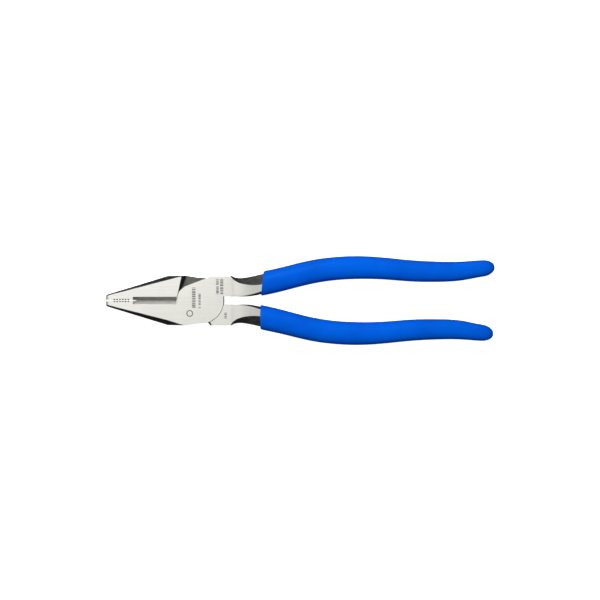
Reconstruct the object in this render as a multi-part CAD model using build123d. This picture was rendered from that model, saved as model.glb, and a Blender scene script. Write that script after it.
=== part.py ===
from build123d import *
import os
from math import cos, radians, sin

# Lineman pliers, jaws closed. The pivot axis is Z through the origin, the nose points to -X, the handles
# to +X and the tool lies on z = 0. The front half holds the lower jaw (-Y), the joint's front level and
# the upper handle (+Y). The rear half is the same forging turned over about X, and the joint is a lap.

# Head
head_thickness = 13.0
nose_reach = 55.75  # pivot to the end of the nose
nose_half_width = 3.5  # at mid height, where the nose is widest
nose_front_half_width = 2.3  # of the ground face on the half's own level
nose_back_half_width = 2.6  # of its other ground face, which was ground less
head_half_width = 14.75  # pivot line to the joint's flat top and bottom
knee_reach = 19.7  # pivot to where the jaw's flank stops widening
knee_half_width = 14.55
knee_front_half_width = 11.4  # of the ground face on the half's own level
cheek_reach = 9.0  # pivot to the end of the jaw's flank on the half's own level
shoulder_reach = 11.1  # pivot to the jaw's shoulder on the other half's level, at the ground face
shoulder_draft = 2.7  # how much nearer the pivot the shoulder is where it meets the lap
shoulder_foot_reach = 13.3  # pivot to the shoulder's end beside the disc
shoulder_foot_width = 3.9
nose_relief_length = 1.6  # the ground slope across the nose's end, along the jaw
nose_relief_depth = 0.55

# Lap joint
disc_radius = 13.6
disc_clearance = 0.3  # round the disc, to the other half's shoulders
lap_clearance = 0.04  # between the two lapped faces
flat_angle, flat_distance = 20.9, 10.97  # the disc's relief flat: its slope, and its distance from the pivot
nick_angle, nick_distance = 42.0, 12.3  # the shorter flat beside it
step_foot = (3.6, 12.4)  # foot of the step up to the handle's flat top
step_head_reach = 5.5
stop_angle = 67.0  # the cheek ends radially at this angle from +X
stop_gap = 2.0  # degrees from there to the other handle's stop shoulder, with the jaws closed

# Rivet
rivet_radius = 4.5
rivet_head_radius = 6.0
rivet_head_depth = 2.0
running_clearance = 0.03  # on radius, between the rivet and the front half

# Gripping nose
nose_gap = 0.55  # between the closed gripping faces
tooth_count = 6
tooth_pitch = 1.66
first_tooth_reach = 50.6
tooth_width = 1.25  # where the notches of the two jaws meet
tooth_root_width = 0.7
tooth_depth = 0.7

# Side cutters
cutter_reach = 38.2  # pivot to the nose end of the cutting edges
cutter_heel_reach = 14.0  # pivot to their joint end
cutter_end_slope = 1.5  # how far the recess's end wall leans towards the nose
edge_gap = 0.03  # between the closed cutting edges
blade_half_width = 1.2  # the blade bevel, where it meets the recess's wall
blade_depth = 2.0  # from the edge to the top of the blade bevel
recess_half_width = 2.2  # at the ground face

# Handles
handle_gap_half = 2.4  # pivot line to the neck's inner wall
neck_start = 18.1  # pivot to the end of the joint's flat top
edge_break = 0.3  # the small bevel along the neck's inner edges
top_bevel, top_bevel_depth = 0.9, 0.4  # the bevel along the joint's flat top: across it, and down
stop_corner_radius = 1.3  # of the stop shoulder's outer corner

# The neck's sections: reach, inner wall, inner and outer edge of the ground face, outer wall, then the
# half heights of the ground face, the inner wall and the outer wall
neck_sections = [
    (23.4, 2.4, 2.7, 10.2, 13.3, 6.35, 5.9, 2.4),
    (29.6, 2.6, 3.5, 9.1, 14.15, 5.9, 4.6, 2.0),
    (36.0, 3.85, 5.5, 9.4, 15.6, 5.1, 3.4, 1.8),
]

# The grip's sections: reach, inner side, outer side, half thickness
grip_sections = [
    (33.0, 2.3, 16.3, 6.3),
    (42.0, 3.85, 18.6, 6.45),
    (52.0, 6.4, 20.9, 6.5),
    (64.0, 9.45, 23.75, 6.5),
    (78.0, 11.8, 25.75, 6.5),
    (93.4, 12.7, 26.4, 6.5),
    (109.0, 12.35, 25.5, 6.5),
    (124.0, 11.2, 24.0, 6.5),
    (140.0, 10.95, 23.15, 6.4),
    (155.0, 11.9, 23.2, 6.1),
]
tip_length = 7.25  # of the grip's rounded tip
tip_steps = 5  # sections round the dome of the tip
last_tip_turn = 85.0  # the last of them, in degrees round the dome
tip_centre = 19.0  # pivot line to the middle of the tip
tip_half_width = 4.95
tip_half_thickness = 5.2
tip_rise = 0.6  # how far the tip leans outwards over its dome
grip_wall = 1.45
upper_tip_reach, lower_tip_reach = 174.0, 173.2  # the dip left each sleeve a little different
upper_rim = (35.5, 2.81), (37.0, 17.08)  # inner and outer side of the sleeve's mouth
lower_rim = (35.0, 2.81), (35.2, 17.08)
covered_sections = 2  # the grip's first sections, where the neck isn't yet the tang
tang_face_inner, tang_face_outer = 0.26, 0.3  # the tang's side bevels, as shares of its width
tang_inner_height, tang_outer_height = 0.5, 0.45  # of its side walls, as shares of its half thickness
tang_reach = 168.0
section_roundness = 0.72  # of the grip's corners: the corner radius over the half width

mid = head_thickness / 2
far = 2 * head_thickness  # runs past every face


def outline(*points):
    """A flat polygon through the points."""
    return make_face(Polyline(*points, close=True))


def back_width(reach):
    """Half width of the jaw's back ground face, on the straight line from the nose to the cheek."""
    slope = (head_half_width - nose_back_half_width) / (nose_reach - cheek_reach)
    return nose_back_half_width + slope * (nose_reach - reach)


def level(face, low, high):
    """The outline as a plate from one height to another."""
    return extrude(Pos(0, 0, low) * face, high - low)


def jaw():
    """The lower jaw at full thickness: widest at mid height, with a forged slope up to each ground face."""

    def section(height, nose, knee):
        return Pos(0, 0, height) * outline(
            (-nose_reach, 0), (-nose_reach, -nose), (-knee_reach, -knee), (-cheek_reach, -head_half_width),
            (-cheek_reach, 0),
        )

    back = section(0, nose_back_half_width, back_width(knee_reach))
    middle = section(mid, nose_half_width, knee_half_width)
    front = section(head_thickness, nose_front_half_width, knee_front_half_width)
    block = loft([back, middle], ruled=True) + loft([middle, front], ruled=True)
    slope = make_face(Plane.XZ * Polyline(
        (-nose_reach - 1, head_thickness - nose_relief_depth * (1 + 1 / nose_relief_length)),
        (-nose_reach + nose_relief_length, head_thickness),
        (-nose_reach + nose_relief_length, head_thickness + 1),
        (-nose_reach - 1, head_thickness + 1),
        close=True,
    ))
    relief = extrude(slope, far, both=True)
    return block - relief - turned_over(relief)


def turned_over(shape):
    """The shape turned over about the tool's long axis at mid height."""
    return shape.rotate(Axis((0, 0, mid), (1, 0, 0)), 180)


def beyond_line(angle, distance):
    """Everything past a line that slopes at the angle, on its left, at the distance from the pivot."""
    size = 4 * disc_radius
    return Rot(0, 0, angle) * Pos(0, distance + size / 2) * Rectangle(size, size)


def handle_root():
    """Outline of the handle's root, from inside the disc to the end of the flat top."""
    return outline(
        (0, handle_gap_half), (neck_start, handle_gap_half), (neck_start, head_half_width),
        (step_head_reach, head_half_width), step_foot, (0, flat_distance - 1),
    )


def own_level():
    """The half's own level: disc, cheek and handle root, with the relief flats beside the other jaw."""
    cheek = outline(
        (-cheek_reach, 0), (-cheek_reach, -head_half_width),
        (disc_radius * cos(radians(stop_angle)), -disc_radius * sin(radians(stop_angle))), (0, 0),
    )
    disc = Circle(disc_radius) - beyond_line(flat_angle, flat_distance) - beyond_line(nick_angle, nick_distance)
    return disc + cheek + handle_root()


def other_root():
    """Outline of the handle's root on the other half's level, cut back to the stop and the disc."""
    reach = 2 * head_half_width
    angle = radians(stop_angle - stop_gap)
    stop = (reach * cos(angle), reach * sin(angle))
    behind_stop = outline((0, 0), stop, (-reach, reach))
    root = handle_root() - behind_stop - Circle(disc_radius + disc_clearance)
    flat_top = root.vertices().filter_by_position(Axis.Y, head_half_width - 0.01, head_half_width + 0.01)
    return fillet(flat_top.sort_by(Axis.X)[0], stop_corner_radius)


def other_jaw_clearance(lap):
    """What the jaw leaves clear on the other half's level: round its disc, and up to the drafted shoulder."""

    def shoulder(height):
        top = -shoulder_reach + shoulder_draft * height / mid
        return Pos(0, 0, height) * outline(
            (top, -2 * head_half_width), (top, -back_width(shoulder_reach)),
            (-shoulder_foot_reach, -shoulder_foot_width), (0, 0), (0, -2 * head_half_width),
        )

    return level(Circle(disc_radius + disc_clearance), -1, lap) + loft([shoulder(-1), shoulder(lap)], ruled=True)


def rounded_section(reach, inner, outer, half_thickness):
    """A rounded cross-section of the grip."""
    width = outer - inner
    corner = section_roundness * min(width / 2, half_thickness)
    place = Plane(origin=(reach, (inner + outer) / 2, mid), x_dir=(0, 1, 0), z_dir=(1, 0, 0))
    return place * RectangleRounded(width, 2 * half_thickness, corner)


def forged_section(reach, inner, face_inner, face_outer, outer, face_half, inner_half, outer_half):
    """An eight-sided cross-section of the forged handle."""
    half = [
        (inner, inner_half), (face_inner, face_half), (face_outer, face_half), (outer, outer_half),
    ]
    points = half + [(y, -z) for y, z in reversed(half)]
    return make_face(Polyline(*[(reach, y, mid + z) for y, z in points], close=True))


def tang_section(reach, inner, outer, half_thickness):
    """The forged handle's cross-section inside the sleeve, one wall thickness in from the grip."""
    inner, outer, height = inner + grip_wall, outer - grip_wall, half_thickness - grip_wall
    width = outer - inner
    return forged_section(
        reach, inner, inner + tang_face_inner * width, outer - tang_face_outer * width, outer,
        height, tang_inner_height * height, tang_outer_height * height,
    )


def handle():
    """The upper handle's neck and tang, one smooth forging from the joint's flat top to the tip."""
    root = forged_section(
        neck_start, handle_gap_half, handle_gap_half + edge_break, head_half_width - top_bevel,
        head_half_width, mid, mid - edge_break, mid - top_bevel_depth,
    )
    necks = [forged_section(*section) for section in neck_sections]
    tangs = [tang_section(*section) for section in grip_sections[covered_sections:]]
    end = tang_section(
        tang_reach, tip_centre - tip_half_width, tip_centre + tip_half_width, tip_half_thickness,
    )
    return loft([root, *necks, *tangs, end])


def cutter_recess():
    """The two cutting bevels and the drafted recess above them, seen from the front face."""

    def section(height, half_width, lean):
        length = cutter_reach + lean - cutter_heel_reach
        centre = -(cutter_reach + lean + cutter_heel_reach) / 2
        return Pos(centre, 0, mid + height) * Rectangle(length, 2 * half_width)

    top = mid + 1
    rise = (recess_half_width - blade_half_width) / (mid - blade_depth)
    lean = cutter_end_slope / mid
    sections = [
        section(0, edge_gap / 2, 0),
        section(blade_depth, blade_half_width, lean * blade_depth),
        section(top, recess_half_width + rise, lean * top),
    ]
    return loft(sections[:2], ruled=True) + loft(sections[1:], ruled=True)


def nose_cuts():
    """What is taken off between the closed jaws: the nose's gap, its teeth and the cutters' recess."""
    parting = Pos(-nose_reach, 0) * Rectangle(2 * (nose_reach - cutter_reach), nose_gap)
    parting += Pos(-nose_reach / 2, 0) * Rectangle(nose_reach, edge_gap)
    for number in range(tooth_count):
        at = -first_tooth_reach + number * tooth_pitch
        root, depth = tooth_root_width / 2, nose_gap / 2 + tooth_depth
        parting += outline(
            (at - root, depth), (at - tooth_width / 2, 0), (at - root, -depth),
            (at + root, -depth), (at + tooth_width / 2, 0), (at + root, depth),
        )
    recess = cutter_recess()
    return level(parting, -1, head_thickness + 1) + recess + turned_over(recess)


def flat_top_bevel():
    """The corner taken off along the joint's flat top, at the front face."""
    foot = head_thickness - top_bevel_depth
    corner = Plane.YZ * Polyline(
        (head_half_width - top_bevel, head_thickness), (head_half_width, foot), (head_half_width + 1, foot),
        (head_half_width + 1, head_thickness + 1), (head_half_width - top_bevel, head_thickness + 1),
        close=True,
    )
    return extrude(make_face(corner), neck_start)


def forging():
    """One half, before its rivet hole: own level in front, and what passes the other half behind."""
    lap = mid + lap_clearance / 2
    body = jaw() - nose_cuts() - other_jaw_clearance(lap)
    body += level(own_level(), lap, head_thickness) + level(other_root(), 0, lap)
    bevel = flat_top_bevel()
    return body - bevel - turned_over(bevel) + handle()


def rivet_solid(extra):
    """The rivet, or with extra radius its running hole: a shank with a countersunk head at each face."""
    shank = Cylinder(rivet_radius + extra, head_thickness, align=(Align.CENTER, Align.CENTER, Align.MIN))
    head = Cone(
        rivet_head_radius + extra, rivet_radius + extra, rivet_head_depth,
        align=(Align.CENTER, Align.CENTER, Align.MIN),
    )
    return shank + head + turned_over(head)


def grip_tip(tip_reach):
    """The grip's domed tip, its sections spaced round a quarter ellipse."""
    sections = []
    for step in range(tip_steps + 1):
        turn = radians(last_tip_turn * step / tip_steps)
        size = cos(turn)
        centre = tip_centre + tip_rise * sin(turn)
        sections.append(rounded_section(
            tip_reach - tip_length * (1 - sin(turn)), centre - tip_half_width * size,
            centre + tip_half_width * size, tip_half_thickness * size,
        ))
    return sections


def grip(half, rim, tip_reach):
    """The dipped sleeve on the upper handle, hollow where the tang fills it."""
    body = [rounded_section(*section) for section in grip_sections]
    skin = loft([*body, *grip_tip(tip_reach)])
    (x0, y0), (x1, y1) = rim
    mouth = outline((x0 - (x1 - x0), y0 - (y1 - y0)), (x1 + (x1 - x0), y1 + (y1 - y0)), (0, y1), (0, y0))
    return skin - level(mouth, -far, far) - half


os.makedirs("parts", exist_ok=True)
half = forging()
rivet = rivet_solid(0)
parts = {
    "front_half": half - rivet_solid(running_clearance),
    "rear_half": turned_over(half) - rivet,
    "rivet": rivet,
    "upper_grip": grip(half, upper_rim, upper_tip_reach),
    "lower_grip": turned_over(grip(half, lower_rim, lower_tip_reach)),
}
for name, shape in parts.items():
    export_step(shape, f"parts/{name}.step")
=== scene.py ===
"""The looks of a pair of lineman pliers: ground and black forgings, a flush rivet and blue dipped grips."""

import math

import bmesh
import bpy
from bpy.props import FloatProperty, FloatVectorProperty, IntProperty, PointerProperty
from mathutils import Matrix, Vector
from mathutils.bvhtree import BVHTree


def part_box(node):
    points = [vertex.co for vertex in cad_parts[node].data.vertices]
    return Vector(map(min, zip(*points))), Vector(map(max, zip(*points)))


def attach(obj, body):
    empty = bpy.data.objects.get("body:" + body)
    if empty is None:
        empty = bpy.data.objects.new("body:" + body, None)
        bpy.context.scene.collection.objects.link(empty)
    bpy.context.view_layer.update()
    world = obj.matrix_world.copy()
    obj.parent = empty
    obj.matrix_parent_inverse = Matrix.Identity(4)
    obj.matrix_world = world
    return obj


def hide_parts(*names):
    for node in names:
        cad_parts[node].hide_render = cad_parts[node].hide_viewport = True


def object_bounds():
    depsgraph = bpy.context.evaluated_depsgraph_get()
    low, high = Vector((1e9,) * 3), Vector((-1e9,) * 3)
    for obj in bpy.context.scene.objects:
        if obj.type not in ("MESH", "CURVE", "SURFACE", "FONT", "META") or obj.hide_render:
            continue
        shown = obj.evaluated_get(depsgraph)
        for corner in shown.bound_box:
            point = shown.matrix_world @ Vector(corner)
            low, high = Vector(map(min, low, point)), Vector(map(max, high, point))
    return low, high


bl_info = {
    "name": "Lineman Pliers",
    "version": (1, 0, 0),
    "blender": (4, 5, 0),
    "location": "3D View > Sidebar > Pliers",
    "description": "Builds finely finished lineman pliers round their packed frame",
    "category": "Object",
}

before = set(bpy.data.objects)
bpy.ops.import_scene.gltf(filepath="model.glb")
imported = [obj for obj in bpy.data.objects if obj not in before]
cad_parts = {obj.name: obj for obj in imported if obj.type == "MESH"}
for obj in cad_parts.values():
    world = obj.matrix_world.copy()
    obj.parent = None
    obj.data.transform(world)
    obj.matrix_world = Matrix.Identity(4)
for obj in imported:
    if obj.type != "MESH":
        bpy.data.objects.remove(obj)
CAD_LOW, CAD_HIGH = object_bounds()

MM = 0.001
MID_HEIGHT = (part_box("rivet")[0].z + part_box("rivet")[1].z) / 2
FACE_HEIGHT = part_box("rivet")[1].z
JOINT_REACH = 13.8 * MM  # pivot to the clearance round the joint's disc
CHEEK_REACH = 8.9 * MM  # pivot to the end of the jaw's black flank
NECK_START = 18.1 * MM  # where the ground flat top of the joint ends
NECK_GROUND_END = 27 * MM  # where the ground strip beside the handles' gap ends
TEETH_START = 52.5 * MM  # pivot to the nose end of the teeth
TEETH_END = 41.5 * MM
NOSE_GAP_HALF = 0.3 * MM
RECESS_HALF_WIDTH = 2.4 * MM  # holds the cutters' recess and the teeth
CUTTER_START = 38 * MM  # pivot to the nose end of the cutting edges
CUTTER_END = 14.5 * MM
BORE_REACH = 6.5 * MM  # holds the rivet's running hole and its countersinks
OUTSIDE = 0.1  # further from the handles' line than any grip reaches


# Settings ---------------------------------------------------------------------------------------------


class ForgingSettings(bpy.types.PropertyGroup):
    """Edges and finishes of the two forgings."""

    forged_edge: FloatProperty(
        name="Forged edge", description="Rounding between black forged slopes",
        default=0.3 * MM, min=0, unit="LENGTH", precision=5,
    )
    ground_edge: FloatProperty(
        name="Ground edge", description="Rounding of the edges that grinding left",
        default=0.1 * MM, min=0, unit="LENGTH", precision=5,
    )
    edge_steps: IntProperty(
        name="Edge steps", description="Facets across each rounded edge", default=3, min=1,
    )
    crease: FloatProperty(
        name="Crease", description="Edges that turn more than this are rounded",
        default=math.radians(18), subtype="ANGLE",
    )
    ground_colour: FloatVectorProperty(
        name="Ground steel", description="Colour of the freshly ground steel",
        default=(0.80, 0.795, 0.745), subtype="COLOR", size=3,
    )
    oxide_colour: FloatVectorProperty(
        name="Black oxide", description="Colour of the unground forged skin",
        default=(0.05, 0.05, 0.0485), subtype="COLOR", size=3,
    )
    lap_colour: FloatVectorProperty(
        name="Lap", description="Colour of the worn faces inside the lap joint",
        default=(0.15, 0.15, 0.145), subtype="COLOR", size=3,
    )
    etch_colour: FloatVectorProperty(
        name="Etching", description="Colour of the etched bars", default=(0.06, 0.06, 0.06),
        subtype="COLOR", size=3,
    )


class GripSettings(bpy.types.PropertyGroup):
    """Shape and finish of the dipped grips."""

    around: IntProperty(name="Around", description="Points round a grip", default=32, min=12)
    along: IntProperty(name="Along", description="Rings along a grip's length", default=56, min=16)
    squareness: FloatProperty(
        name="Squareness", description="2 is an oval section, and more is squarer", default=2.45, min=2,
    )
    wall: FloatProperty(
        name="Wall", description="Thickness of the dipped vinyl", default=1.6 * MM,
        unit="LENGTH", precision=5,
    )
    lip: FloatProperty(
        name="Lip", description="Rounding of the sleeve's mouth", default=0.9 * MM,
        unit="LENGTH", precision=5,
    )
    dome: FloatProperty(
        name="Dome", description="Length of the rounded tip", default=7.2 * MM, unit="LENGTH", precision=5,
    )
    colour: FloatVectorProperty(
        name="Vinyl", description="Colour of the dipped vinyl", default=(0.0, 0.13, 0.84),
        subtype="COLOR", size=3,
    )
    deep_colour: FloatVectorProperty(
        name="Deep vinyl", description="Colour where the dip ran thick", default=(0.0, 0.105, 0.72),
        subtype="COLOR", size=3,
    )


class StageSettings(bpy.types.PropertyGroup):
    """Floor, lights and camera."""

    floor_colour: FloatVectorProperty(
        name="Floor", description="Colour of the floor", default=(0.93, 0.93, 0.93),
        subtype="COLOR", size=3,
    )
    floor_glow: FloatProperty(
        name="Floor glow", description="Brightness of the light table that the tool lies on", default=1.0,
    )
    view_width: FloatProperty(
        name="View width", description="What the camera sees across at the object",
        default=355.3 * MM, unit="LENGTH",
    )
    lens: FloatProperty(name="Lens", description="Focal length", default=100, unit="CAMERA")
    aim: FloatVectorProperty(
        name="Aim", description="Camera's offset from the object's middle",
        default=(-0.45 * MM, 0.3 * MM), size=2, unit="LENGTH", precision=5,
    )
    panel_glow: FloatProperty(name="Panel", description="Brightness of the softbox overhead", default=0.57)
    side_glow: FloatProperty(name="Side", description="Brightness of the softbox behind", default=0.4)
    fill_glow: FloatProperty(name="Fill", description="Brightness of the low softbox", default=0.5)
    key_glow: FloatProperty(name="Key", description="Brightness of the small key softbox", default=12.6)
    sky: FloatProperty(name="Sky", description="Brightness of the room above the table", default=0.19)
    ground: FloatProperty(name="Ground", description="Brightness of the room below it", default=0.05)
    slant: FloatProperty(
        name="Slant", description="How much brighter the room is beyond the tool", default=0.5,
    )



# Shader building --------------------------------------------------------------------------------------


class Wire:
    """A shader value: arithmetic on it adds the Math nodes that work it out."""

    def __init__(self, finish, socket):
        self.finish = finish
        self.socket = socket

    def __add__(self, other):
        return self.finish.sum("ADD", self, other)

    def __sub__(self, other):
        return self.finish.sum("SUBTRACT", self, other)

    def __rsub__(self, other):
        return self.finish.sum("SUBTRACT", other, self)

    def __mul__(self, other):
        return self.finish.sum("MULTIPLY", self, other)

    def __truediv__(self, other):
        return self.finish.sum("DIVIDE", self, other)

    def __gt__(self, other):
        return self.finish.sum("GREATER_THAN", self, other)

    def __lt__(self, other):
        return self.finish.sum("LESS_THAN", self, other)

    __radd__ = __add__
    __rmul__ = __mul__


class Finish:
    """A material under construction."""

    def __init__(self, name):
        self.material = bpy.data.materials.new(name)
        self.material.use_nodes = True
        self.tree = self.material.node_tree
        self.tree.nodes.clear()
        place = self.node("ShaderNodeTexCoord", output="Object")
        self.place = self.vector("SCALE", place, scale=1 / MM)
        parts = self.node("ShaderNodeSeparateXYZ", inputs={0: self.place}).socket.node
        self.x, self.y, self.z = (Wire(self, socket) for socket in parts.outputs)

    def node(self, kind, settings=None, inputs=None, output=0):
        """Adds a node with its settings and its inputs' values or links, and returns one of its outputs."""
        node = self.tree.nodes.new(kind)
        for name, value in (settings or {}).items():
            if name == "stops":
                first, last = node.color_ramp.elements
                (first.position, first.color), (last.position, last.color) = value
            else:
                setattr(node, name, value)
        for name, value in (inputs or {}).items():
            if isinstance(value, Wire):
                self.tree.links.new(value.socket, node.inputs[name])
            else:
                node.inputs[name].default_value = value
        return Wire(self, node.outputs[output]) if node.outputs else None

    def sum(self, operation, first, second):
        return self.node("ShaderNodeMath", {"operation": operation}, {0: first, 1: second})

    def vector(self, operation, first, second=None, scale=None):
        inputs = {0: first}
        if second is not None:
            inputs[1] = second
        if scale is not None:
            inputs["Scale"] = scale
        return self.node("ShaderNodeVectorMath", {"operation": operation}, inputs)

    def noise(self, stretch, scale, detail=2.0, roughness=0.5):
        """Cloudy values about 0.5, with the place in millimetres stretched before it is read."""
        place = self.vector("MULTIPLY", self.place, stretch)
        return self.node(
            "ShaderNodeTexNoise", {},
            {"Vector": place, "Scale": scale, "Detail": detail, "Roughness": roughness}, output="Fac",
        )

    def ramp(self, value, low, high, start=0.0, end=1.0):
        """The value spread from low to high, ended there, as start to end."""
        return self.node(
            "ShaderNodeMapRange", {"clamp": True},
            {"Value": value, "From Min": low, "From Max": high, "To Min": start, "To Max": end},
        )

    def colour(self, amount, first, second):
        """A colour between two, as RGB triples or links."""
        first, second = (c if isinstance(c, Wire) else (*c, 1) for c in (first, second))
        return self.node(
            "ShaderNodeMix", {"data_type": "RGBA"}, {0: amount, 6: first, 7: second}, output=2,
        )

    def bump(self, height, depth):
        return self.node("ShaderNodeBump", {}, {"Strength": 1.0, "Distance": depth, "Height": height})

    def shade(self, **sockets):
        """Ends the material with a Principled shader whose sockets are given by name."""
        inputs = {name.replace("_", " "): value for name, value in sockets.items()}
        shader = self.node("ShaderNodeBsdfPrincipled", {}, inputs)
        self.node("ShaderNodeOutputMaterial", {}, {"Surface": shader})
        return self.material


def between(value, low, high):
    """1 where the value lies between the two, and 0 elsewhere."""
    return (value > low) * (value < high)


def etched_bars(finish):
    """Plain etched bars and a ring on the front face, in the places where a maker would mark the tool."""
    x, y = finish.x, finish.y
    mask = 0
    for left, right, low, high, pitch in (
        (-4.9, -2.8, -4.2, 7.6, 1.05), (-1.1, 0.3, -5.2, 4.0, 0.9), (9.3, 10.9, 3.7, 12.7, 0.85),
        (11.7, 13.5, 3.7, 12.7, 0.95), (14.2, 15.6, -10.8, -7.2, 0.95),
    ):
        cell = y / pitch
        number = finish.sum("FLOOR", cell, 0)
        chance = finish.node(
            "ShaderNodeTexWhiteNoise", {"noise_dimensions": "1D"}, {"W": number + left}, output="Value",
        )
        within = finish.sum("FRACT", cell, 0)
        bar = (within < chance * 0.3 + 0.4) * (chance > 0.1)
        mask = between(x, left, right) * between(y, low, high) * bar + mask
    ring_x, ring_y, ring_radius, ring_width = -6.2, -7.6, 1.7, 0.55
    reach = finish.sum("SQRT", (x - ring_x) * (x - ring_x) + (y - ring_y) * (y - ring_y), 0)
    mask = mask + between(reach, ring_radius - ring_width / 2, ring_radius + ring_width / 2)
    return mask * (finish.z > FACE_HEIGHT / MM - 0.05)


# Finishes ---------------------------------------------------------------------------------------------


def ground_steel(settings):
    """Surface-ground steel: fine lines along the tool, a soft cloudy sheen and a few darker drags."""
    f = Finish("ground_steel")
    fine = f.noise((0.06, 7.0, 7.0), 1.0, 3.0, 0.6)
    drags = f.noise((0.03, 1.4, 1.4), 1.0, 2.0, 0.55)
    clouds = f.noise((1, 1, 1), 0.09, 3.0, 0.6)
    dark = f.ramp(fine, 0.3, 0.7) * 0.3 + f.ramp(drags, 0.35, 0.7) * 0.35 + f.ramp(clouds, 0.3, 0.7) * 0.35
    base = tuple(settings.ground_colour)
    shaded = f.colour(dark, base, tuple(c * 0.82 for c in base))
    rough = dark * 0.1 + 0.3
    etched = etched_bars(f)
    shaded = f.colour(etched * 0.9, shaded, tuple(settings.etch_colour))
    rough = rough + etched * 0.2
    return f.shade(
        Base_Color=shaded, Metallic=1.0, Roughness=rough, Normal=f.bump(fine * 0.6 + drags, 0.012 * MM),
    )


def black_oxide(settings):
    """Forged skin under black oxide: fine scale, shallow pits and paler rubbed patches."""
    f = Finish("black_oxide")
    scale = f.noise((1, 1, 1), 2.2, 4.0, 0.65)
    patches = f.noise((1, 1, 1), 0.22, 3.0, 0.55)
    pits = f.ramp(f.noise((1, 1, 1), 1.1, 2.0, 0.5), 0.58, 0.7)
    base = tuple(settings.oxide_colour)
    shaded = f.colour(f.ramp(patches, 0.4, 0.75), base, tuple(c * 2.0 for c in base))
    shaded = f.colour(pits * 0.5, shaded, tuple(c * 0.4 for c in base))
    rough = f.ramp(scale, 0.3, 0.7, 0.36, 0.52)
    return f.shade(
        Base_Color=shaded, Metallic=0.6, Roughness=rough, Normal=f.bump(scale - pits * 0.6, 0.05 * MM),
    )


def lap_steel(settings):
    """The faces inside the lap joint: dull and greyed by wear, with arcs rubbed round the pivot."""
    f = Finish("lap_steel")
    reach = f.sum("SQRT", f.x * f.x + f.y * f.y, 0)
    rings = f.node(
        "ShaderNodeTexNoise", {"noise_dimensions": "1D"}, {"W": reach * 2.2, "Scale": 1.0}, output="Fac",
    )
    grain = f.noise((1, 1, 1), 1.6, 3.0, 0.6)
    dark = f.ramp(rings, 0.35, 0.65) * 0.4 + f.ramp(grain, 0.35, 0.65) * 0.6
    base = tuple(settings.lap_colour)
    return f.shade(
        Base_Color=f.colour(dark, base, tuple(c * 0.55 for c in base)), Metallic=0.7,
        Roughness=f.ramp(grain, 0.3, 0.7, 0.4, 0.55), Normal=f.bump(rings * 0.5 + grain, 0.03 * MM),
    )


def blade_steel(settings, name, painted_light_tone):
    """The ground bevels of the cutters and the gripping faces: matt, with lines straight up the bevel, their
    whole colour scaled by a tone that paints light on one forging's bevels and shade on the other's.
    """
    f = Finish(name)
    lines = f.noise((9.0, 0.2, 0.2), 1.0, 2.0, 0.6)
    clouds = f.noise((1, 1, 1), 0.3, 2.0, 0.5)
    dark = f.ramp(lines, 0.3, 0.7) * 0.5 + f.ramp(clouds, 0.3, 0.7) * 0.5
    # Painted light and shade: a tone above 1 lightens the whole colour and a tone below 1 darkens it.
    bright = tuple(c * painted_light_tone for c in settings.ground_colour)
    return f.shade(
        Base_Color=f.colour(dark, bright, tuple(c * 0.8 for c in bright)), Metallic=0.0,
        Roughness=f.ramp(lines, 0.3, 0.7, 0.42, 0.5), Normal=f.bump(lines, 0.01 * MM),
    )


def notch_painted_shade(settings):
    """Painted shade for the notches between the gripping teeth: a near-black, matt colour standing in for
    the shade inside them, mottled darker at random.
    """
    f = Finish("notch_painted_shade")
    notch_mottle = f.noise((1, 1, 1), 2.0, 3.0, 0.6)
    base = tuple(settings.oxide_colour)
    # Near-black base: painted shade inside the notches, with random darker mottling.
    return f.shade(
        Base_Color=f.colour(f.ramp(notch_mottle, 0.3, 0.7), base, tuple(c * 0.4 for c in base)), Metallic=0.0,
        Roughness=f.ramp(notch_mottle, 0.3, 0.7, 0.75, 0.95), Specular_IOR_Level=0.15,
        Normal=f.bump(notch_mottle, 0.03 * MM),
    )


def dipped_vinyl(settings):
    """Smooth dipped vinyl: an even satin with faint flow bands and a fine orange-peel skin."""
    f = Finish("dipped_vinyl")
    bands = f.noise((1, 1, 1), 0.05, 2.0, 0.5)
    peel = f.noise((1, 1, 1), 0.9, 2.0, 0.5)
    dust = f.noise((1, 1, 1), 6.0, 2.0, 0.6)
    shaded = f.colour(
        f.ramp(bands, 0.35, 0.7), tuple(settings.colour), tuple(settings.deep_colour),
    )
    rough = f.ramp(dust, 0.3, 0.7, 0.3, 0.38) + f.ramp(bands, 0.3, 0.7, 0.0, 0.05)
    return f.shade(
        Base_Color=shaded, Metallic=0.0, Roughness=rough, Specular_IOR_Level=0.16,
        Specular_Tint=(0.1, 0.5, 1, 1),
        Normal=f.bump(peel + dust * 0.1, 0.03 * MM),
    )


def pale_floor(settings):
    """A matt pale tabletop with the faintest mottle."""
    f = Finish("pale_floor")
    mottle = f.noise((1, 1, 1), 0.02, 3.0, 0.6)
    base = tuple(settings.floor_colour)
    shaded = f.colour(f.ramp(mottle, 0.3, 0.7), base, tuple(c * 0.985 for c in base))
    return f.shade(
        Base_Color=shaded, Metallic=0.0, Roughness=0.9, Emission_Color=(1, 1, 1, 1),
        Emission_Strength=settings.floor_glow,
    )


# Forgings ---------------------------------------------------------------------------------------------


GROUND, FORGED, LAP, BLADE, TOOTH = range(5)


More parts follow.
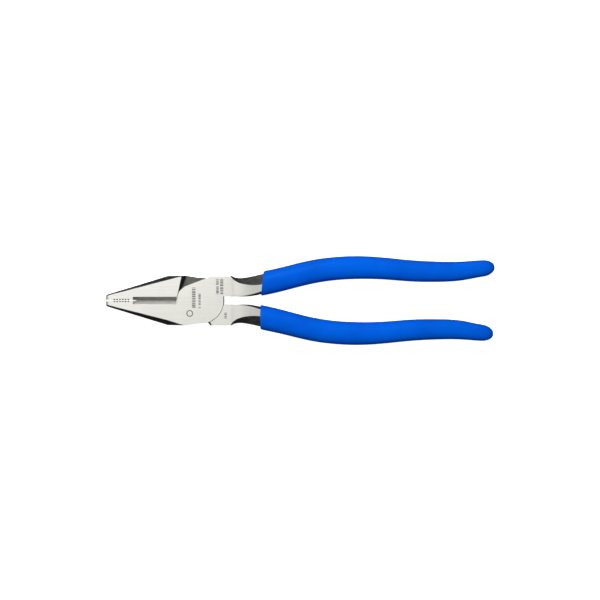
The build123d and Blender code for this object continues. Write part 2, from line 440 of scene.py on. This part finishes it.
def finish_of(centre, normal):
    """Which finish a face of a forging has, from where it lies and which way it looks."""
    x, y = centre.x, abs(centre.y)
    outward = normal.y * (1 if centre.y > 0 else -1)
    upright = abs(normal.z) < 0.1
    on_lap = abs(centre.z - MID_HEIGHT) < 0.5 * MM
    if on_lap and abs(normal.z) > 0.9:
        return LAP
    if x < -JOINT_REACH and y < RECESS_HALF_WIDTH and abs(normal.z) < 0.9:
        # The notch walls take the near-black finish painted as shade; the other recess faces take a blade
        # finish.
        notch = -TEETH_START < x < -TEETH_END and y > NOSE_GAP_HALF
        return TOOTH if notch else BLADE
    flank = x < -CHEEK_REACH and outward > 0.3
    shoulder = normal.x > 0.6 and x < -7 * MM and y > 3 * MM
    relief_flat = upright and -JOINT_REACH < x < 4 * MM and 4 * MM < y < 13 * MM
    stop = normal.x < -0.8 and 0 < x < 8 * MM and y > 12 * MM
    beside_gap = x < NECK_GROUND_END and y < 2.7 * MM
    neck = x > NECK_START and abs(normal.z) < 0.93 and not beside_gap
    return FORGED if flank or shoulder or relief_flat or stop or neck else GROUND


def forging(node, settings, finishes):
    """A finished copy of a forging: flat faces made whole, edges rounded and finishes laid on."""
    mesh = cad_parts[node].data.copy()
    mesh.name = node + "_steel"
    mesh.materials.clear()
    for finish in finishes:
        mesh.materials.append(finish)
    for attribute in ("custom_normal", "sharp_edge"):
        if attribute in mesh.attributes:
            mesh.attributes.remove(mesh.attributes[attribute])
    shape = bmesh.new()
    shape.from_mesh(mesh)
    bmesh.ops.remove_doubles(shape, verts=shape.verts, dist=0.001 * MM)
    bmesh.ops.dissolve_limit(shape, angle_limit=math.radians(0.2), verts=shape.verts, edges=shape.edges)
    shape.normal_update()
    for face in shape.faces:
        face.smooth = True
        face.material_index = finish_of(face.calc_center_median(), face.normal)
    weight = shape.edges.layers.float.new("bevel_weight_edge")
    for edge in shape.edges:
        if len(edge.link_faces) != 2 or edge.calc_face_angle(0) < settings.crease:
            continue
        middle = (edge.verts[0].co + edge.verts[1].co) / 2
        in_bore = math.hypot(middle.x, middle.y) < BORE_REACH
        toothed = any(face.material_index == TOOTH for face in edge.link_faces)
        cutting = abs(middle.y) < 0.2 * MM and -CUTTER_START < middle.x < -CUTTER_END
        if in_bore or cutting or toothed:
            edge.smooth = False
            continue
        forged = all(face.material_index == FORGED for face in edge.link_faces)
        edge[weight] = 1.0 if forged else settings.ground_edge / settings.forged_edge
    shape.to_mesh(mesh)
    shape.free()
    piece = bpy.data.objects.new(node + "_steel", mesh)
    bpy.context.scene.collection.objects.link(piece)
    edges = piece.modifiers.new("edges", "BEVEL")
    edges.width = settings.forged_edge
    edges.segments = settings.edge_steps
    edges.limit_method = "WEIGHT"
    edges.harden_normals = True
    edges.use_clamp_overlap = True
    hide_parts(node)
    return piece


# Grips ------------------------------------------------------------------------------------------------


class Probe:
    """Measures a CAD grip by looking at it along the axes."""

    def __init__(self, node):
        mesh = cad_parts[node].data
        self.low, self.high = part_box(node)
        self.side = 1 if self.high.y + self.low.y > 0 else -1
        self.tree = BVHTree.FromPolygons([v.co for v in mesh.vertices], [p.vertices for p in mesh.polygons])

    def edge(self, start, direction):
        """The first point of the grip that a look from start along direction meets."""
        hit = self.tree.ray_cast(Vector(start), Vector(direction))[0]
        if hit is None:
            raise RuntimeError(f"nothing of the grip lies along {direction} from {tuple(start)}")
        return hit

    def section(self, x):
        """Middle height across Y, and the half sizes across Y and Z, at a reach."""
        top = self.edge((x, OUTSIDE, MID_HEIGHT), (0, -1, 0)).y
        bottom = self.edge((x, -OUTSIDE, MID_HEIGHT), (0, 1, 0)).y
        middle = (top + bottom) / 2
        roof = self.edge((x, middle, OUTSIDE), (0, 0, -1)).z
        return middle, (top - bottom) / 2, roof - MID_HEIGHT

    def mouth(self):
        """Reach of the sleeve's mouth at the grip's middle, and how it leans with Y."""
        past_mouth, in_inner_wall, in_outer_wall = 4 * MM, 0.4 * MM, 1.6 * MM
        middle, half, _ = self.section(self.low.x + past_mouth)
        inner = self.edge((0, middle - self.side * (half - in_inner_wall), MID_HEIGHT), (1, 0, 0))
        outer = self.edge((0, middle + self.side * (half - in_outer_wall), MID_HEIGHT), (1, 0, 0))
        lean = (outer.x - inner.x) / (outer.y - inner.y)
        return inner.x + lean * (middle - inner.y), lean


class GripShape:
    """The grip's outer form as smooth sections along its length, read from the CAD sleeve."""

    def __init__(self, node):
        self.probe = Probe(node)
        self.start, self.lean = self.probe.mouth()
        self.end = self.probe.high.x
        self.first_whole = self.start + 3.5 * MM  # past the leaning mouth
        self.lean_length = 25 * MM  # over which the mouth's lean dies out

    def section(self, x):
        """The section at a reach, carried on in a straight line in front of the first whole one."""
        if x >= self.first_whole:
            return self.probe.section(x)
        step = 4 * MM
        near, far = self.probe.section(self.first_whole), self.probe.section(self.first_whole + step)
        share = (x - self.first_whole) / step
        return tuple(a + (b - a) * share for a, b in zip(near, far))

    def ring(self, settings, from_mouth, inset):
        """Points round the grip at a distance from its mouth, set in from the skin."""
        x = self.start + from_mouth
        middle, half_width, half_height = self.section(x)
        across, up = max(half_width - inset, 0), max(half_height - inset, 0)
        lean = self.lean * max(0, 1 - from_mouth / self.lean_length) ** 2
        power = 2 / settings.squareness
        points = []
        for number in range(settings.around):
            angle = 2 * math.pi * number / settings.around
            y = across * math.copysign(abs(math.cos(angle)) ** power, math.cos(angle))
            z = up * math.copysign(abs(math.sin(angle)) ** power, math.sin(angle))
            points.append((x + lean * y, middle + y, MID_HEIGHT + z))
        return points


def sleeve_rings(settings, length, cavity):
    """Each ring's distance from the mouth and inset, from the hollow's blind end over the lip to the tip."""
    lip, wall, dome, steps = settings.lip, settings.wall, settings.dome, settings.along
    hollow_steps, lip_steps = 12, 4
    rings = [(cavity - (cavity - lip) * step / hollow_steps, wall) for step in range(hollow_steps + 1)]
    rings += [(0.3 * lip, wall), (0, wall - 0.3 * lip)]
    for step in range(lip_steps + 1):
        turn = math.radians(90 - 90 * step / lip_steps)
        rings.append((lip * (1 - math.sin(turn)), lip * (1 - math.cos(turn))))
    body = length - dome - lip
    rings += [(lip + body * step / steps, 0) for step in range(1, steps + 1)]
    rings += [(length - dome * (1 - math.sin(math.radians(turn))), 0) for turn in range(12, 77, 9)]
    return rings


def skin(rings, tip):
    """A closed mesh over rings of points, capped at the first ring and drawn together at the tip."""
    shape = bmesh.new()
    loops = [[shape.verts.new(point) for point in ring] for ring in rings]
    end = shape.verts.new(tip)
    for first, second in zip(loops, loops[1:]):
        for number in range(len(first)):
            following = (number + 1) % len(first)
            shape.faces.new((first[number], first[following], second[following], second[number]))
    shape.faces.new(reversed(loops[0]))
    last = loops[-1]
    for number in range(len(last)):
        shape.faces.new((last[number], last[(number + 1) % len(last)], end))
    bmesh.ops.recalc_face_normals(shape, faces=shape.faces)
    for face in shape.faces:
        face.smooth = True
    return shape


def grip(node, tang, settings, finish):
    """A dipped sleeve: a blind hollow for the tang, a rounded lip at the mouth and a domed tip."""
    shape = GripShape(node)
    length = shape.end - shape.start
    rings = sleeve_rings(settings, length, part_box(tang)[1].x - shape.start)
    points = [shape.ring(settings, distance, inset) for distance, inset in rings]
    middle = shape.section(shape.end - 0.3 * MM)[0]
    mesh = bpy.data.meshes.new(node + "_sleeve")
    solid = skin(points, (shape.end, middle, MID_HEIGHT))
    solid.to_mesh(mesh)
    solid.free()
    mesh.materials.append(finish)
    piece = bpy.data.objects.new(node + "_sleeve", mesh)
    bpy.context.scene.collection.objects.link(piece)
    smooth = piece.modifiers.new("smooth", "SUBSURF")
    smooth.levels = smooth.render_levels = 1
    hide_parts(node)
    return piece


# Stage ------------------------------------------------------------------------------------------------


def cove(settings):
    """A round light table whose edge curves up into a wall: it shows behind the tool but lights nothing."""
    middle, table, bend, wall, turns = 0.5, 3.0, 1.0, 3.0, 64
    below = 0.05 * MM  # the table lies this far under the tool
    profile = [(middle, 0), (table, 0)]
    profile += [
        (table + bend * math.sin(math.radians(turn)), bend * (1 - math.cos(math.radians(turn))))
        for turn in range(15, 91, 15)
    ]
    profile.append((table + bend, bend + wall))
    shape = bmesh.new()
    rings = []
    for reach, height in profile:
        rings.append([
            shape.verts.new((
                reach * math.cos(2 * math.pi * turn / turns), reach * math.sin(2 * math.pi * turn / turns),
                CAD_LOW.z - below + height,
            ))
            for turn in range(turns)
        ])
    shape.faces.new(rings[0])
    for first, second in zip(rings, rings[1:]):
        for turn in range(turns):
            after = (turn + 1) % turns
            shape.faces.new((first[turn], second[turn], second[after], first[after]))
    for face in shape.faces:
        face.smooth = True
    mesh = bpy.data.meshes.new("light_table")
    shape.to_mesh(mesh)
    shape.free()
    mesh.materials.append(pale_floor(settings))
    table = bpy.data.objects.new("light_table", mesh)
    table.visible_diffuse = table.visible_glossy = table.visible_shadow = False
    bpy.context.scene.collection.objects.link(table)


def softbox(name, glow, size, place, aim):
    """A rectangular softbox of an even brightness at a place, turned towards another."""
    lamp = bpy.data.lights.new(name, "AREA")
    lamp.shape = "RECTANGLE"
    lamp.size, lamp.size_y = size
    lamp.energy = glow * math.pi * size[0] * size[1]
    panel = bpy.data.objects.new(name, lamp)
    panel.location = place
    panel.rotation_euler = (Vector(aim) - Vector(place)).to_track_quat("-Z", "Y").to_euler()
    bpy.context.scene.collection.objects.link(panel)


def surroundings(settings):
    """A room that is pale above the table's level, paler beyond the tool, and dark below it."""
    sky = bpy.data.worlds.new("sky")
    sky.use_nodes = True
    tree = sky.node_tree
    direction = tree.nodes.new("ShaderNodeTexCoord")
    parts = tree.nodes.new("ShaderNodeSeparateXYZ")
    tree.links.new(direction.outputs["Generated"], parts.inputs[0])
    both = tree.nodes.new("ShaderNodeMath")
    both.operation = "MULTIPLY"
    for number, (axis, low, high, start, end) in enumerate((
        ("Z", -0.1, 0.15, settings.ground, settings.sky),
        ("Y", -1, 1, 1 - settings.slant, 1 + settings.slant),
    )):
        spread = tree.nodes.new("ShaderNodeMapRange")
        tree.links.new(parts.outputs[axis], spread.inputs["Value"])
        spread.inputs["From Min"].default_value = low
        spread.inputs["From Max"].default_value = high
        spread.inputs["To Min"].default_value = start
        spread.inputs["To Max"].default_value = end
        tree.links.new(spread.outputs[0], both.inputs[number])
    background = tree.nodes["Background"]
    background.inputs["Color"].default_value = (1, 1, 1, 1)
    tree.links.new(both.outputs[0], background.inputs["Strength"])
    return sky


def camera(settings):
    """A long lens straight above the tool."""
    middle = (CAD_LOW + CAD_HIGH) / 2
    data = bpy.data.cameras.new("camera")
    data.lens = settings.lens
    data.clip_start = 0.01
    distance = settings.view_width * settings.lens / data.sensor_width
    eye = bpy.data.objects.new("camera", data)
    eye.location = middle + Vector((settings.aim[0], settings.aim[1], distance))
    bpy.context.scene.collection.objects.link(eye)
    bpy.context.scene.camera = eye


# Operators --------------------------------------------------------------------------------------------


class PLIERS_OT_forgings(bpy.types.Operator):
    """Finish the two forgings"""

    bl_idname = "pliers.forgings"
    bl_label = "Forgings"

    def execute(self, context):
        settings = context.scene.pliers_forging
        shared = ground_steel(settings), black_oxide(settings), lap_steel(settings)
        # The tooth notches get a near-black colour painted as shade.
        notch_shade = notch_painted_shade(settings)
        # Painted light and shade: the front forging's bevels get a lighter copy of the blade colour and the
        # rear forging's a darker copy, for light falling from one side.
        painted_light_blade = blade_steel(settings, "painted_light_blade", 1.15)
        painted_shade_blade = blade_steel(settings, "painted_shade_blade", 0.4)
        for node, body, blade in (
            ("front_half", "front", painted_light_blade), ("rear_half", "rear", painted_shade_blade),
        ):
            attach(forging(node, settings, (*shared, blade, notch_shade)), body)
        return {"FINISHED"}


class PLIERS_OT_rivet(bpy.types.Operator):
    """Finish the rivet, ground flush with both faces"""

    bl_idname = "pliers.rivet"
    bl_label = "Rivet"

    def execute(self, context):
        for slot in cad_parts["rivet"].material_slots:
            slot.material = ground_steel(context.scene.pliers_forging)
        return {"FINISHED"}


class PLIERS_OT_grips(bpy.types.Operator):
    """Dip the two grips"""

    bl_idname = "pliers.grips"
    bl_label = "Grips"

    def execute(self, context):
        settings = context.scene.pliers_grip
        finish = dipped_vinyl(settings)
        for node, tang, body in (
            ("upper_grip", "front_half", "front"), ("lower_grip", "rear_half", "rear"),
        ):
            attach(grip(node, tang, settings, finish), body)
        return {"FINISHED"}


class PLIERS_OT_stage(bpy.types.Operator):
    """Set the floor, the lights and the camera"""

    bl_idname = "pliers.stage"
    bl_label = "Stage"

    def execute(self, context):
        settings = context.scene.pliers_stage
        cove(settings)
        tool = (0.05, 0, 0)
        softbox("overhead", settings.panel_glow, (1.8, 1.6), (-0.3, 0.42, 1.3), (-0.3, 0.42, 0))
        softbox("side", settings.side_glow, (2.2, 1.2), (-0.1, 1.5, 0.6), tool)
        softbox("key", settings.key_glow, (0.5, 0.5), (-0.35, 0.58, 1.1), tool)
        softbox("fill", settings.fill_glow, (1.8, 0.8), (1.1, -1.1, 0.45), tool)
        context.scene.world = surroundings(settings)
        camera(settings)
        context.scene.view_settings.view_transform = "Standard"
        return {"FINISHED"}


class PLIERS_PT_panel(bpy.types.Panel):
    """Lists the pliers' operators and settings"""

    bl_idname = "PLIERS_PT_panel"
    bl_label = "Lineman Pliers"
    bl_space_type = "VIEW_3D"
    bl_region_type = "UI"
    bl_category = "Pliers"

    def draw(self, context):
        for group, operators in (
            ("pliers_forging", ("pliers.forgings", "pliers.rivet")), ("pliers_grip", ("pliers.grips",)),
            ("pliers_stage", ("pliers.stage",)),
        ):
            box = self.layout.box()
            settings = getattr(context.scene, group)
            for name in type(settings).__annotations__:
                box.prop(settings, name)
            for operator in operators:
                box.operator(operator)


CLASSES = (
    ForgingSettings, GripSettings, StageSettings, PLIERS_OT_forgings, PLIERS_OT_rivet, PLIERS_OT_grips,
    PLIERS_OT_stage, PLIERS_PT_panel,
)
GROUPS = {"pliers_forging": ForgingSettings, "pliers_grip": GripSettings, "pliers_stage": StageSettings}


def register():
    for cls in CLASSES:
        bpy.utils.register_class(cls)
    for name, group in GROUPS.items():
        setattr(bpy.types.Scene, name, PointerProperty(type=group))


def unregister():
    for name in GROUPS:
        delattr(bpy.types.Scene, name)
    for cls in reversed(CLASSES):
        bpy.utils.unregister_class(cls)


def main():
    register()
    bpy.ops.pliers.forgings()
    bpy.ops.pliers.rivet()
    bpy.ops.pliers.grips()
    bpy.ops.pliers.stage()


if __name__ == "__main__":
    main()
